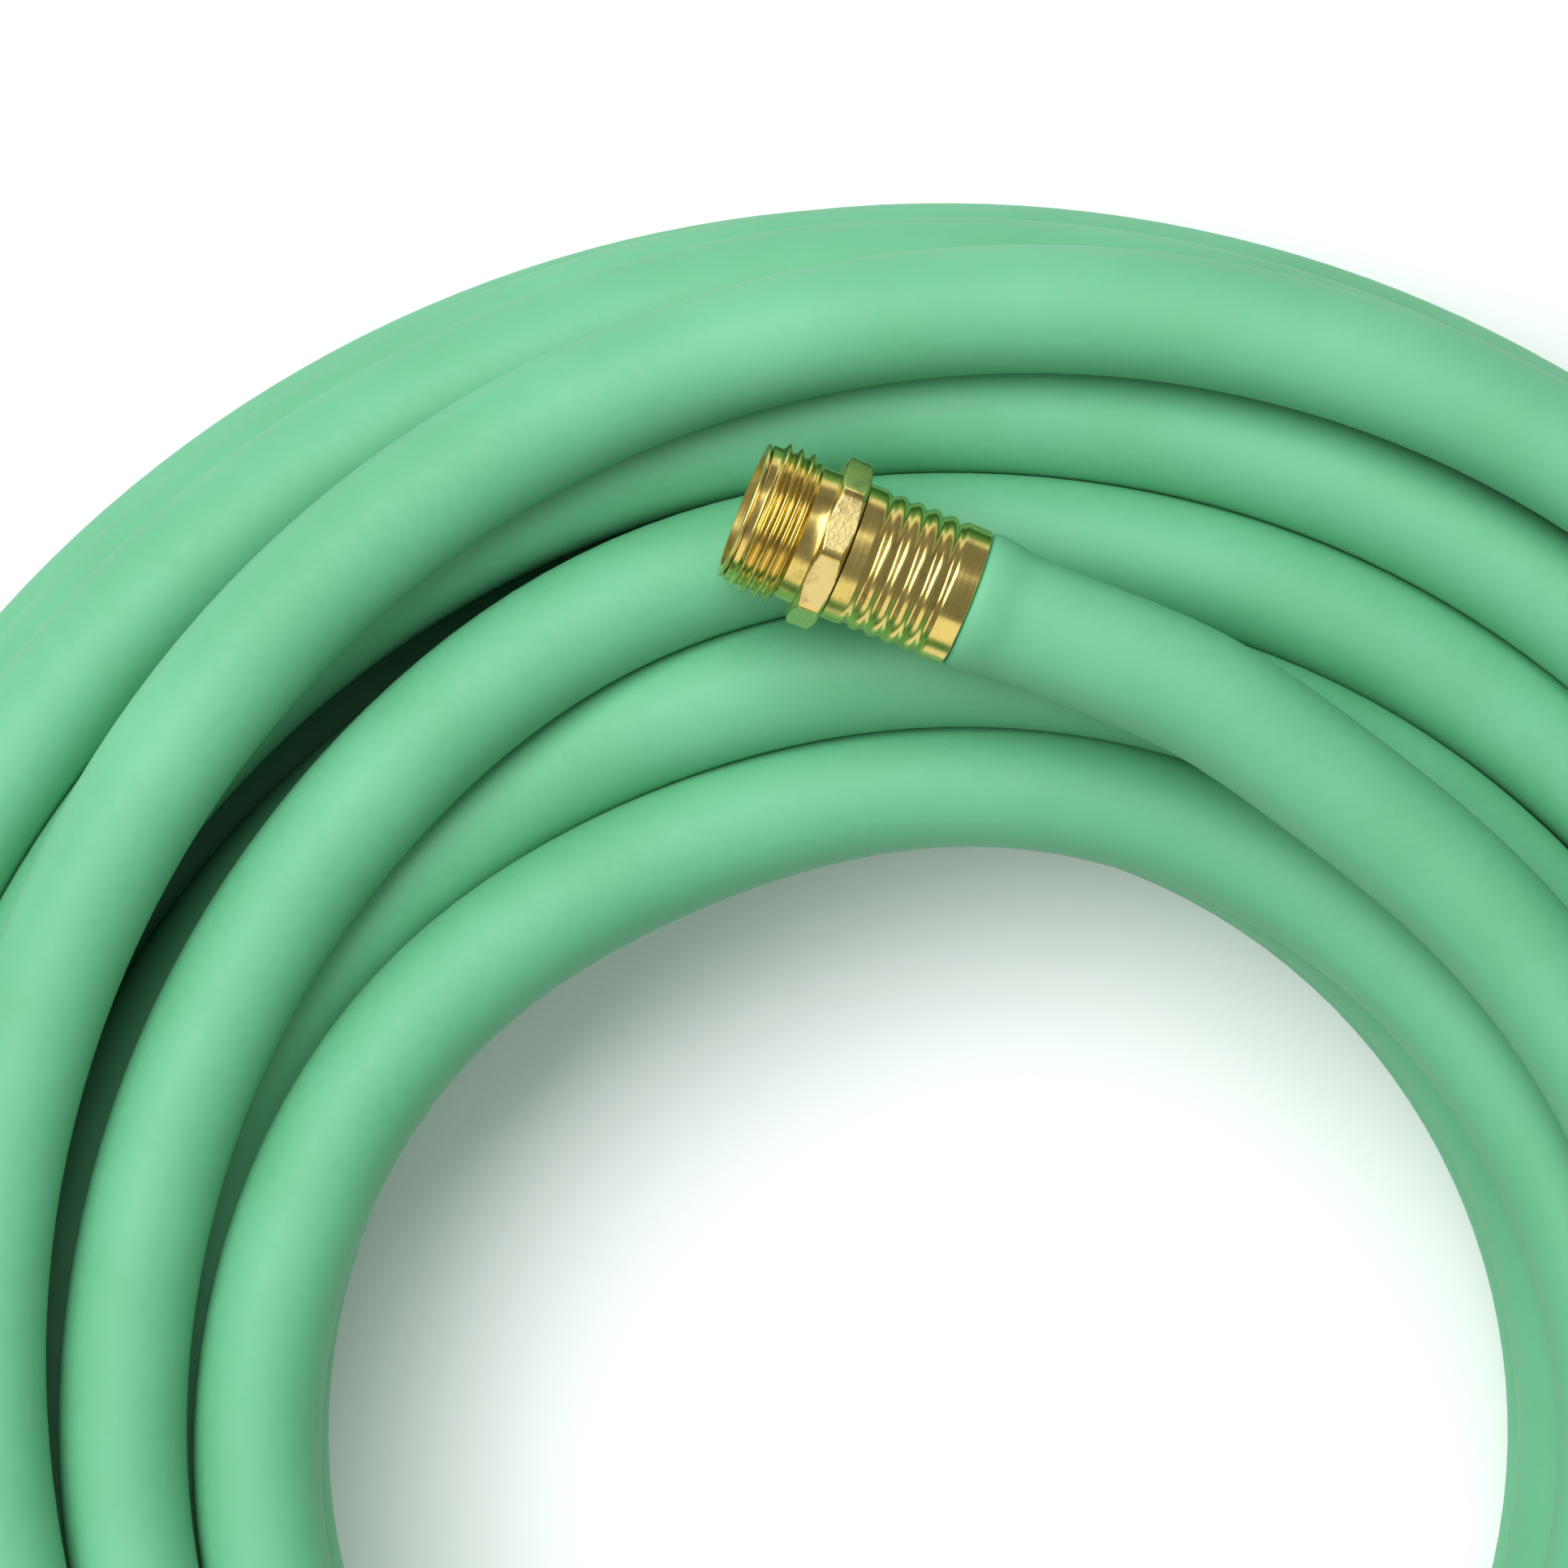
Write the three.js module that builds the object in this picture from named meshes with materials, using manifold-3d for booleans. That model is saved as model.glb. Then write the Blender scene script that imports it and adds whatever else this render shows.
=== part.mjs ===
// Garden hose with smooth green walls, lying wound in a loose flat coil.
// The male end lies on top of the coil and the female end lies on the floor beside it.
// Units are millimetres and +Z is up. The origin is under the middle of the whole part, on the floor.
import * as THREE from 'three';
import { mergeVertices } from 'three/addons/utils/BufferGeometryUtils.js';
import Module from 'manifold-3d';

const wasm = await Module();
wasm.setup();

// ---- driving dimensions ----------------------------------------------------------------------

const CLEARANCE = 0.3; // gap left between pieces that touch

// hose
const HOSE_OD = 22.5;
const HOSE_BORE = 15.9;

// outer shape of the wound coil
const COIL_OUTER_R = 220;
const COIL_INNER_R = 98;
const COIL_TOP = 76; // top of the middle turns, where the male fitting lies
const RIM_RISE = 12; // the outermost turn stands this much higher
const RIM_WIDTH = 33; // the high outermost turn is this wide with the turns under it
const SHELF_DROP = 10; // the inner turns, where the last turn lies, are this much lower
const SHELF_R = 143; // the inner, lower turns end at this radius
const COIL_EDGE = 8; // rounding of the coil's lower edges
const RIM_ROUND = 12; // rounding of the rim's outer edge
const RIM_INNER_ROUND = 6;
const SHELF_BEVEL = 2;

// pipe thread of garden hose fittings, 3/4 in nominal, 11.5 turns to the inch
const THREAD_PITCH = 25.4 / 11.5;
const THREAD_CREST_R = 13.5;
const THREAD_DEPTH = 1.2;
const THREAD_ROOT_FLAT = 1.5; // width of a thread ridge where it stands on the barrel
const THREAD_CREST_FLAT = 0.5;
const THREAD_FIT = 0.3; // radial play between the male and the female thread
const THREAD_SUNK = 0.5; // the ridge reaches this far into the wall it stands on
const THREAD_FADE_TURNS = 0.3; // the ridge rises from the wall over this part of a turn
const THREAD_START_DEPTH = 1.4; // at its ends the ridge lies this many thread depths under the wall

// male coupling, measured along its axis from the mouth
const MALE_THREAD_START = 1.9;
const MALE_NECK = 4; // from the thread's end to the collar
const NECK_STEP = 0.25; // the neck is this much thinner than the thread's barrel
const COLLAR_START = 13.4;
const COLLAR_LENGTH = 5;
const COLLAR_OVER_THREAD = 0.8; // half the collar's flats is this much more than the thread's crest
const COLLAR_SIDES = 8;
const COLLAR_CHAMFER = 0.8;
const THREAD_RELIEF = 0.4; // plain barrel left behind the thread
const MOUTH_EASE = 0.2; // the barrel's rim is eased by this much
const BARREL_WALL = 1.05; // wall of the coupling under the thread
const MALE_TAPER_LEAD = 1.9; // the sleeve starts to narrow this far before the collar
const MALE_TAPER_END_GAP = 1.4; // the sleeve's taper ends this far before the collar does
const SHEET = 0.65; // wall of the thin brass sleeves
const LIP_STEP = 0.1; // the sleeve's rim, folded over the mouth, is this much smaller than the barrel
const LIP_THICK = 0.5;

// ferrule that grips the hose, the same on both ends
const FERRULE_LENGTH = 22.7;
const FERRULE_LAND = 4.1;
const FERRULE_OVER_HOSE = 0.95; // radius of the ferrule's lands, more than the hose's
const GROOVE_OVER_HOSE = 0.25;
const RIB_OVER_HOSE = 1.25;
const FERRULE_BREAK = 0.4; // broken edge at the coupling's side
const FERRULE_RIBS = 4;
const FERRULE_END_LAND = 4;
const FERRULE_WALL = 0.7;
const FERRULE_FLANGE = 1;
const GRIPPED_WALL = 2.9; // the hose wall squeezed between sleeve and ferrule
const SLEEVE_SHORTER = 1.5; // the brass sleeve stops this far before the ferrule's end
const BULGE_OVER_HOSE = 0.85; // the hose swells this much behind the ferrule
const BULGE_LENGTH = 10;
// the swollen end of the hose: distance from the ferrule, share of the swelling
const BULGE_STATIONS = [[1.8, 1], [4.5, 0.76], [7.5, 0.18]];

// female coupling, measured along its axis from the mouth
const NUT_WALL = 1.7; // wall of the nut at the middle of a flat
const NUT_SIDES = 8;
const NUT_LENGTH = 17;
const NUT_CHAMFER = 0.9;
const NUT_LIP = 2.1; // inward lip that holds the nut on the tailpiece
const NUT_THREAD_START = 1.2;
const NUT_THREAD_TO_WASHER = 1.2;
const TAIL_FLANGE_THICK = 1.5;
const NUT_HOLD = 2.8; // the flange stands out this much from the stem, to hold the nut
const TAIL_FLANGE_GAP = 0.7; // radial gap between the flange and the nut's bore
const WASHER_THICK = 2.7;
const WASHER_GAP = 0.4;
const WASHER_HOLE_R = 8.5;
const TAIL_GAP = 1.2; // room for the nut to slide between the flange and the ferrule
const TAIL_FUNNEL = 1; // the tailpiece's bore widens by this much at the flange

// where the two ends lie, measured from the coil's middle
const MALE_PLACE = [1.5, 146]; // hose end of the male ferrule in plan
const MALE_TURN = 158.7; // heading of the male mouth in plan, degrees from +X
const MALE_TILT = 5.4; // the male mouth looks up by this angle, degrees
const COLLAR_ROLL = -13; // turn of the collar's first flat from straight up, degrees
const FEMALE_X = -8; // hose end of the female ferrule
const FEMALE_TURN = 180;
const NUT_TO_COIL = 1; // from the nut's flats to the outermost line of the coil
const NUT_TO_FLOOR = 0.6; // from the nut's corners to the floor, so that it turns freely
const REST_GAP = 0.2; // between the male fitting and the turns under it

// route of the loose hose near its two ends, measured from the coil's middle
const MALE_ROUTE = [
  [40, 130.6, 85.8],
  [62, 116.4, 82.6],
  [78, 104.3, 80.2],
  [99, 84.5, 78.2],
  [112.6, 65, 77.7],
  [122.2, 44.5, 77.7],
  [128, 22.6, 77.7],
  [130, 0, 77.7],
  [128, -22.6, 77.7],
  [122.2, -44.5, 77.7],
  [112.6, -65, 77.7],
  [91.9, -91.9, 77.7],
  [65, -112.4, 77.7],
  [33, -124.5, 76.8],
  [0, -127, 74],
  [-33, -121, 69.5],
  [-66, -103, 65],
  [-92, -80, 62.3],
];
const FEMALE_ROUTE = [
  [14, -236.5, 17.2],
  [36, -236.3, 16.2],
  [60, -233.5, 13.8],
  [84, -226.5, 12],
  [107, -214.5, 11.4],
  [128, -198, 11.3],
  [148, -177, 11.3],
  [165, -151, 11.3],
];

// resolution of the faceted solids
const ROUND_SIDES = 28;
const COIL_SIDES = 60;
const HOSE_SIDES = 10;
const HOSE_STEP_DIAMETERS = 1.2;
const THREAD_STEPS_PER_TURN = 16;

// ---- derived dimensions ----------------------------------------------------------------------

const COIL_RIM_TOP = COIL_TOP + RIM_RISE;
const SHELF_TOP = COIL_TOP - SHELF_DROP;
const HOSE_R = HOSE_OD / 2;
const HOSE_BORE_R = HOSE_BORE / 2;
const FERRULE_R = HOSE_R + FERRULE_OVER_HOSE;
const FERRULE_GROOVE_R = HOSE_R + GROOVE_OVER_HOSE;
const FERRULE_RIB_R = HOSE_R + RIB_OVER_HOSE;
const BULGE_R = HOSE_R + BULGE_OVER_HOSE;
const THREAD_BARREL_R = THREAD_CREST_R - THREAD_DEPTH;
const LIP_R = THREAD_BARREL_R - LIP_STEP;
const MALE_BORE_R = THREAD_BARREL_R - BARREL_WALL - CLEARANCE - SHEET;
const MALE_THREAD_END = COLLAR_START - MALE_NECK;
const MALE_TAPER_START = COLLAR_START - MALE_TAPER_LEAD;
const MALE_NECK_R = THREAD_BARREL_R - NECK_STEP;
const COLLAR_FLATS = 2 * (THREAD_CREST_R + COLLAR_OVER_THREAD);
const COLLAR_CORNER_R = COLLAR_FLATS / 2 / Math.cos(Math.PI / COLLAR_SIDES);
const COLLAR_END = COLLAR_START + COLLAR_LENGTH;
const FERRULE_BORE_R = FERRULE_GROOVE_R - FERRULE_WALL;
const GRIPPED_R = FERRULE_BORE_R - CLEARANCE;
const GRIPPED_BORE_R = GRIPPED_R - GRIPPED_WALL;
const SLEEVE_R = GRIPPED_BORE_R - CLEARANCE;
const SLEEVE_BORE_R = SLEEVE_R - SHEET;
const FERRULE_HOLE_R = SLEEVE_R + CLEARANCE;
const MALE_FERRULE_START = COLLAR_END + CLEARANCE;
const MALE_LENGTH = MALE_FERRULE_START + FERRULE_LENGTH;
const NUT_BORE_R = THREAD_CREST_R + THREAD_FIT;
const NUT_FLATS = 2 * (NUT_BORE_R + NUT_WALL);
const NUT_CORNER_R = NUT_FLATS / 2 / Math.cos(Math.PI / NUT_SIDES);
const TAIL_FLANGE_R = NUT_BORE_R - TAIL_FLANGE_GAP;
const TAIL_STEM_R = TAIL_FLANGE_R - NUT_HOLD;
const WASHER_R = NUT_BORE_R - WASHER_GAP;
const NUT_LIP_START = NUT_LENGTH - NUT_LIP;
const TAIL_FLANGE_START = NUT_LIP_START - CLEARANCE - TAIL_FLANGE_THICK;
const WASHER_START = TAIL_FLANGE_START - CLEARANCE - WASHER_THICK;
const NUT_THREAD_END = WASHER_START - NUT_THREAD_TO_WASHER;
const FEMALE_FERRULE_START = NUT_LENGTH + TAIL_GAP;
const FEMALE_LENGTH = FEMALE_FERRULE_START + FERRULE_LENGTH;
const COLLAR_RISE = (MALE_LENGTH - COLLAR_END) * Math.sin(THREE.MathUtils.degToRad(MALE_TILT));
const MALE_HEIGHT = COIL_TOP + REST_GAP + Math.max(FERRULE_RIB_R, COLLAR_CORNER_R - COLLAR_RISE);
const MALE_END = new THREE.Vector3(...MALE_PLACE, MALE_HEIGHT);
const FEMALE_END = new THREE.Vector3(
  FEMALE_X,
  -(COIL_OUTER_R + NUT_TO_COIL + NUT_FLATS / 2),
  NUT_CORNER_R + NUT_TO_FLOOR,
);
const COIL_Y = (-FEMALE_END.y + NUT_FLATS / 2 - COIL_OUTER_R) / 2;

// ---- materials -------------------------------------------------------------------------------

const HOSE_GREEN = { color: 0x7fca9c, roughness: 0.55, metalness: 0 };
const BRASS = { color: 0xc9a24a, roughness: 0.25, metalness: 1 };
const BRASS_SLEEVE = { color: 0xbd9645, roughness: 0.3, metalness: 1 };
const WASHER_BLACK = { color: 0x222222, roughness: 0.8, metalness: 0 };

// ---- helpers ---------------------------------------------------------------------------------

function toSolid(geometry) {
  const bare = geometry.clone();
  bare.deleteAttribute('normal');
  bare.deleteAttribute('uv');
  const merged = mergeVertices(bare, 1e-5);
  return new wasm.Manifold(new wasm.Mesh({
    numProp: 3,
    vertProperties: new Float32Array(merged.attributes.position.array),
    triVerts: new Uint32Array(merged.index.array),
  }));
}

function toGeometry(solid) {
  const mesh = solid.getMesh();
  const geometry = new THREE.BufferGeometry();
  geometry.setAttribute('position', new THREE.BufferAttribute(new Float32Array(mesh.vertProperties), 3));
  geometry.setIndex(new THREE.BufferAttribute(new Uint32Array(mesh.triVerts), 1));
  geometry.computeVertexNormals();
  return geometry;
}

// A ring or tube about the Y axis. The outline is a closed loop of [distance along the axis, radius].
function turned(outline, sides = ROUND_SIDES) {
  const points = outline.map(([along, radius]) => new THREE.Vector2(radius, along));
  points.push(points[0].clone());
  const area = THREE.ShapeUtils.area(points);
  if (area < 0) points.reverse();
  return new THREE.LatheGeometry(points, sides);
}

// A solid round bar about the Y axis with a radius that changes along it.
function turnedBar(stations, sides = ROUND_SIDES) {
  const first = stations[0][0];
  const last = stations[stations.length - 1][0];
  return turned([[first, 0], ...stations, [last, 0]], sides);
}

function named(name, geometry, look) {
  const mesh = new THREE.Mesh(geometry, new THREE.MeshStandardMaterial(look));
  mesh.name = name;
  return mesh;
}

// A right-handed screw line about the Y axis. It dips towards `sunkRadius` at both ends.
class ThreadLine extends THREE.Curve {
  constructor(start, end, radius, sunkRadius) {
    super();
    this.start = start;
    this.end = end;
    this.radius = radius;
    this.sunkRadius = sunkRadius;
    this.turns = (end - start) / THREAD_PITCH;
  }

  getPoint(t, target = new THREE.Vector3()) {
    const angle = t * this.turns * 2 * Math.PI;
    const fromEnd = Math.min(t, 1 - t) * this.turns;
    const full = THREE.MathUtils.smoothstep(fromEnd, 0, THREAD_FADE_TURNS);
    const radius = THREE.MathUtils.lerp(this.sunkRadius, this.radius, full);
    const along = this.end - t * (this.end - this.start);
    return target.set(radius * Math.cos(angle), along, radius * Math.sin(angle));
  }

  computeFrenetFrames(segments) {
    const tangents = [];
    const normals = [];
    const binormals = [];
    for (let i = 0; i <= segments; i += 1) {
      const point = this.getPointAt(i / segments);
      const radial = new THREE.Vector3(point.x, 0, point.z).normalize();
      const axial = new THREE.Vector3(0, 1, 0);
      normals.push(radial);
      binormals.push(axial);
      tangents.push(new THREE.Vector3().crossVectors(radial, axial));
    }
    return { tangents, normals, binormals };
  }
}

// One thread ridge that stands on a wall. `outward` is 1 on a barrel and -1 in a nut.
function threadRidge(start, end, wallRadius, outward) {
  const root = THREAD_ROOT_FLAT / 2;
  const crest = THREAD_CREST_FLAT / 2;
  const sunk = -THREAD_SUNK * outward;
  const high = THREAD_DEPTH * outward;
  const section = new THREE.Shape([
    new THREE.Vector2(sunk, -root),
    new THREE.Vector2(0, -root),
    new THREE.Vector2(high, -crest),
    new THREE.Vector2(high, crest),
    new THREE.Vector2(0, root),
    new THREE.Vector2(sunk, root),
  ]);
  const line = new ThreadLine(start, end, wallRadius, wallRadius - THREAD_START_DEPTH * high);
  return new THREE.ExtrudeGeometry(section, {
    steps: Math.round(line.turns * THREAD_STEPS_PER_TURN),
    bevelEnabled: false,
    extrudePath: line,
  });
}

// A prism with flat sides about the Y axis, its corners turned off at both ends.
function flatSided(start, end, flats, sides, chamfer, roll) {
  const cornerR = flats / 2 / Math.cos(Math.PI / sides);
  const prism = new THREE.CylinderGeometry(cornerR, cornerR, end - start, sides);
  prism.rotateY(Math.PI / sides + THREE.MathUtils.degToRad(roll));
  prism.translate(0, (start + end) / 2, 0);
  const endR = flats / 2;
  const cone = turnedBar([
    [start, endR],
    [start + chamfer, cornerR + 0.1],
    [end - chamfer, cornerR + 0.1],
    [end, endR],
  ]);
  return toSolid(prism).intersect(toSolid(cone));
}

function circleShape(radius, sides) {
  const points = [];
  for (let i = 0; i < sides; i += 1) {
    const angle = (i + 0.5) / sides * 2 * Math.PI;
    points.push(new THREE.Vector2(radius * Math.cos(angle), radius * Math.sin(angle)));
  }
  return new THREE.Shape(points);
}

// A fitting's own frame: Y runs from its mouth to the hose, Z is the side that looks up.
function fittingGroup(hoseEnd, length, turn, tilt) {
  const heading = THREE.MathUtils.degToRad(turn);
  const rise = THREE.MathUtils.degToRad(tilt);
  const mouthWay = new THREE.Vector3(
    Math.cos(heading) * Math.cos(rise),
    Math.sin(heading) * Math.cos(rise),
    Math.sin(rise),
  );
  const along = mouthWay.clone().negate();
  const side = new THREE.Vector3().crossVectors(along, new THREE.Vector3(0, 0, 1)).normalize();
  const up = new THREE.Vector3().crossVectors(side, along);
  const group = new THREE.Group();
  group.quaternion.setFromRotationMatrix(new THREE.Matrix4().makeBasis(side, along, up));
  group.position.copy(hoseEnd).addScaledVector(mouthWay, length);
  group.updateMatrix();
  return group;
}

function ferrule(start) {
  const end = start + FERRULE_LENGTH;
  const ribsStart = start + FERRULE_LAND;
  const ribsEnd = end - FERRULE_END_LAND;
  const ribPitch = (ribsEnd - ribsStart) / (FERRULE_RIBS + 1);
  const outline = [
    [start, FERRULE_HOLE_R],
    [start, FERRULE_R - FERRULE_BREAK],
    [start + FERRULE_BREAK, FERRULE_R],
    [ribsStart, FERRULE_R],
  ];
  for (let i = 0; i <= FERRULE_RIBS; i += 1) {
    const grooveAt = ribsStart + (i + 0.5) * ribPitch;
    outline.push([grooveAt - 0.3 * ribPitch, FERRULE_GROOVE_R + 0.1]);
    outline.push([grooveAt + 0.1 * ribPitch, FERRULE_GROOVE_R]);
    if (i < FERRULE_RIBS) outline.push([grooveAt + 0.5 * ribPitch, FERRULE_RIB_R]);
  }
  outline.push([ribsEnd, FERRULE_R]);
  outline.push([end, FERRULE_R]);
  outline.push([end, FERRULE_BORE_R]);
  outline.push([start + FERRULE_FLANGE, FERRULE_BORE_R]);
  outline.push([start + FERRULE_FLANGE, FERRULE_HOLE_R]);
  return turned(outline);
}

// The end of the hose wall: squeezed inside the ferrule and swollen just behind it.
function hoseEnd(ferruleStart) {
  const start = ferruleStart + FERRULE_FLANGE + CLEARANCE;
  const out = ferruleStart + FERRULE_LENGTH;
  return turned([
    [start, GRIPPED_BORE_R],
    [start, GRIPPED_R],
    [out + CLEARANCE, GRIPPED_R],
    [out + CLEARANCE, (GRIPPED_R + BULGE_R) / 2],
    ...BULGE_STATIONS.map(([along, share]) => [out + along, HOSE_R + share * BULGE_OVER_HOSE]),
    [out + BULGE_LENGTH, HOSE_R],
    [out + BULGE_LENGTH, HOSE_BORE_R],
    [out, HOSE_BORE_R],
    [out - SLEEVE_SHORTER, GRIPPED_BORE_R],
  ]);
}

// Outer shape of the wound turns, made larger all round by `grow`.
function coilShape(grow) {
  const outer = COIL_OUTER_R + grow;
  const rimTop = COIL_RIM_TOP + grow;
  const rimInner = COIL_OUTER_R - RIM_WIDTH - grow;
  const shelfR = SHELF_R - grow;
  return turned([
    [-grow, COIL_INNER_R + COIL_EDGE],
    [-grow, COIL_OUTER_R - COIL_EDGE],
    [COIL_EDGE, outer],
    [COIL_RIM_TOP - RIM_ROUND, outer],
    [COIL_RIM_TOP - RIM_ROUND / 4, outer - 0.4 * RIM_ROUND],
    [rimTop, outer - RIM_ROUND],
    [rimTop, rimInner + RIM_INNER_ROUND],
    [COIL_RIM_TOP - RIM_INNER_ROUND, rimInner],
    [COIL_TOP + grow, rimInner],
    [COIL_TOP + grow, shelfR + SHELF_BEVEL],
    [COIL_TOP - SHELF_BEVEL, shelfR],
    [SHELF_TOP + grow, shelfR],
    [SHELF_TOP + grow, COIL_INNER_R + COIL_EDGE - grow],
    [SHELF_TOP - COIL_EDGE, COIL_INNER_R - grow],
    [COIL_EDGE, COIL_INNER_R - grow],
  ], COIL_SIDES).rotateX(Math.PI / 2);
}

// A loose stretch of hose. It starts square on the end piece and is trimmed where it dives into the coil.
function looseHose(hoseEndPoint, hoseWay, route) {
  const start = hoseEndPoint.clone().addScaledVector(hoseWay, BULGE_LENGTH + CLEARANCE);
  const second = hoseEndPoint.clone().addScaledVector(hoseWay, BULGE_LENGTH + HOSE_OD / 2);
  const points = [start, second, ...route.map((point) => new THREE.Vector3(...point))];
  const curve = new THREE.CatmullRomCurve3(points, false, 'centripetal');
  const tube = new THREE.ExtrudeGeometry(circleShape(HOSE_R, HOSE_SIDES), {
    steps: Math.round(curve.getLength() / (HOSE_STEP_DIAMETERS * HOSE_OD)),
    bevelEnabled: false,
    extrudePath: curve,
  });
  return toSolid(tube).subtract(toSolid(coilShape(CLEARANCE)));
}

// ---- male end --------------------------------------------------------------------------------

function maleCoupling() {
  const barrel = turnedBar([
    [LIP_THICK + CLEARANCE, THREAD_BARREL_R - MOUTH_EASE],
    [MALE_THREAD_START - 3 * MOUTH_EASE, THREAD_BARREL_R],
    [MALE_THREAD_END + THREAD_RELIEF, THREAD_BARREL_R],
    [MALE_THREAD_END + THREAD_RELIEF + NECK_STEP, MALE_NECK_R],
    [COLLAR_START + 1, MALE_NECK_R],
  ]);
  const ridge = threadRidge(MALE_THREAD_START, MALE_THREAD_END, THREAD_BARREL_R, 1);
  const collar = flatSided(
    COLLAR_START, COLLAR_END, COLLAR_FLATS, COLLAR_SIDES, COLLAR_CHAMFER, COLLAR_ROLL,
  );
  const boreR = MALE_BORE_R + SHEET + CLEARANCE;
  const bore = turnedBar([
    [-1, boreR],
    [MALE_TAPER_START + 0.4, boreR],
    [COLLAR_END - 1, FERRULE_HOLE_R],
    [COLLAR_END + 1, FERRULE_HOLE_R],
  ]);
  return toGeometry(toSolid(barrel).add(toSolid(ridge)).add(collar).subtract(toSolid(bore)));
}

function maleInsert() {
  const end = MALE_LENGTH - SLEEVE_SHORTER - CLEARANCE;
  const outerR = MALE_BORE_R + SHEET;
  const taperEnd = COLLAR_END - MALE_TAPER_END_GAP;
  return turned([
    [0, MALE_BORE_R],
    [0, LIP_R],
    [LIP_THICK, LIP_R],
    [LIP_THICK, outerR],
    [MALE_TAPER_START, outerR],
    [taperEnd, SLEEVE_R],
    [end, SLEEVE_R],
    [end, SLEEVE_BORE_R],
    [taperEnd - SHEET / 2, SLEEVE_BORE_R],
    [MALE_TAPER_START - SHEET / 2, MALE_BORE_R],
  ]);
}

const male = fittingGroup(MALE_END, MALE_LENGTH, MALE_TURN, MALE_TILT);
male.add(
  named('male_coupling', maleCoupling(), BRASS),
  named('male_insert', maleInsert(), BRASS_SLEEVE),
  named('male_ferrule', ferrule(MALE_FERRULE_START), BRASS),
  named('hose_end_male', hoseEnd(MALE_FERRULE_START), HOSE_GREEN),
);

// ---- female end ------------------------------------------------------------------------------

function tailpiece() {
  const end = FEMALE_LENGTH - SLEEVE_SHORTER - CLEARANCE;
  const flangeEnd = TAIL_FLANGE_START + TAIL_FLANGE_THICK;
  const stemEnd = FEMALE_FERRULE_START - CLEARANCE;
  return turned([
    [TAIL_FLANGE_START, SLEEVE_BORE_R + TAIL_FUNNEL],
    [TAIL_FLANGE_START, TAIL_FLANGE_R],
    [flangeEnd, TAIL_FLANGE_R],
    [flangeEnd, TAIL_STEM_R],
    [stemEnd, TAIL_STEM_R],
    [stemEnd, SLEEVE_R],
    [end, SLEEVE_R],
    [end, SLEEVE_BORE_R],
    [TAIL_FLANGE_START + 2 * TAIL_FUNNEL, SLEEVE_BORE_R],
  ]);
}

function swivelNut() {
  const blank = flatSided(0, NUT_LENGTH, NUT_FLATS, NUT_SIDES, NUT_CHAMFER, 0);
  const socket = turnedBar([
    [-1, NUT_BORE_R + 0.6],
    [0, NUT_BORE_R + 0.4],
    [0.6, NUT_BORE_R],
    [NUT_LIP_START, NUT_BORE_R],
  ]);
  const hole = turnedBar([
    [NUT_LIP_START - 1, TAIL_STEM_R + CLEARANCE],
    [NUT_LENGTH + 1, TAIL_STEM_R + CLEARANCE],
  ]);
  const ridge = threadRidge(NUT_THREAD_START, NUT_THREAD_END, NUT_BORE_R, -1);
  return toGeometry(blank.subtract(toSolid(socket)).subtract(toSolid(hole)).add(toSolid(ridge)));
}

function washer() {
  const end = WASHER_START + WASHER_THICK;
  return turned([
    [WASHER_START, WASHER_HOLE_R],
    [WASHER_START, WASHER_R],
    [end, WASHER_R],
    [end, WASHER_HOLE_R],
  ]);
}

const female = fittingGroup(FEMALE_END, FEMALE_LENGTH, FEMALE_TURN, 0);
female.add(
  named('swivel_nut', swivelNut(), BRASS),
  named('hose_washer', washer(), WASHER_BLACK),
  named('female_tailpiece', tailpiece(), BRASS_SLEEVE),
  named('female_ferrule', ferrule(FEMALE_FERRULE_START), BRASS),
  named('hose_end_female', hoseEnd(FEMALE_FERRULE_START), HOSE_GREEN),
);

// ---- the hose --------------------------------------------------------------------------------

function hoseWay(group) {
  return new THREE.Vector3(0, 1, 0).applyQuaternion(group.quaternion);
}

const model = new THREE.Group();
model.add(
  male,
  female,
  named('hose_coil', coilShape(0), HOSE_GREEN),
  named('hose_tail_male', toGeometry(looseHose(MALE_END, hoseWay(male), MALE_ROUTE)), HOSE_GREEN),
  named('hose_tail_female', toGeometry(looseHose(FEMALE_END, hoseWay(female), FEMALE_ROUTE)), HOSE_GREEN),
);
model.position.y = COIL_Y;

export default model;
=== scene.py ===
import math

import bpy
import numpy as np
from mathutils import Matrix, Vector, kdtree


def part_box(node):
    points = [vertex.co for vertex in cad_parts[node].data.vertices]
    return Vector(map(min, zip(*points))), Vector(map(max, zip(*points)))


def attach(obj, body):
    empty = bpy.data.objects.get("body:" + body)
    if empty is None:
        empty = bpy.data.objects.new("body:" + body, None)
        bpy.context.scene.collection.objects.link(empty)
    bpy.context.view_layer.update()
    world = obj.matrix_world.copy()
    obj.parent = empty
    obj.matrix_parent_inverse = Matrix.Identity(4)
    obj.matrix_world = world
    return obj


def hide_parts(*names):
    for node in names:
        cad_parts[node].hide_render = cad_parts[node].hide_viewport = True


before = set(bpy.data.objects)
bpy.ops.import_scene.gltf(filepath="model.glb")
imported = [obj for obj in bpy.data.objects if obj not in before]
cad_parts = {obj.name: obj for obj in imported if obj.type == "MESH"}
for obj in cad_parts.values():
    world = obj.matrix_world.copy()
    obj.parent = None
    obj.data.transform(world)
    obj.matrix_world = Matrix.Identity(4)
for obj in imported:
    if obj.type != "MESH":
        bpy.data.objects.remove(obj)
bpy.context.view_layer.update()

MM = 0.001

# ---- where the coil and its two ends lie -------------------------------------------------------

coil_low, coil_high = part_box("hose_coil")
COIL_MIDDLE = Vector(((coil_low[0] + coil_high[0]) / 2, (coil_low[1] + coil_high[1]) / 2, 0))

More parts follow.
